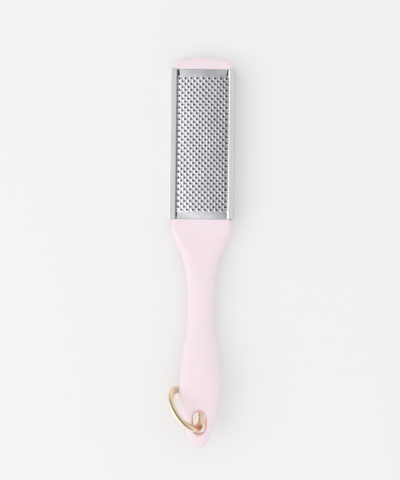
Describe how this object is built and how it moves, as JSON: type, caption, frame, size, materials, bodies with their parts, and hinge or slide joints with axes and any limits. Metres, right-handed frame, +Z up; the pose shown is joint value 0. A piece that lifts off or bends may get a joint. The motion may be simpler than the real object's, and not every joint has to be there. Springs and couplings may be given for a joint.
{
  "type": "foot file",
  "caption": "Hand-held foot file: arched steel rasp with crater teeth held between folded side rails on a moulded paddle handle, with a loose hang ring through the slotted tail.",
  "frame": {"origin": "on the table under the middle of the tool's box, as it lies on its back with the rasp up", "axes": "+Y along the tool towards the nose, +Z up through the rasp, +X to the right seen from above"},
  "size_m": [0.0412, 0.25, 0.0297],
  "materials": {
    "pink_plastic": "pale pink, fine satin, soft to the touch",
    "rasp_steel": "bright stainless sheet with punched teeth",
    "rail_steel": "satin stainless, brushed along the length",
    "gold_plate": "polished gold-coloured plating"
  },
  "bodies": {
    "handle": {"front_shell": "pink_plastic", "back_shell": "pink_plastic", "rasp_plate": "rasp_steel", "left_rail": "rail_steel", "right_rail": "rail_steel"},
    "ring": {"hang_ring": "gold_plate"}
  },
  "joints": [
    {"name": "ring_swing", "type": "hinge", "parent": "handle", "child": "ring", "pos_m": [-0.0001, -0.1112, 0.0149], "axis": [0, 0, 1], "range_deg": [0, 280]}
  ]
}
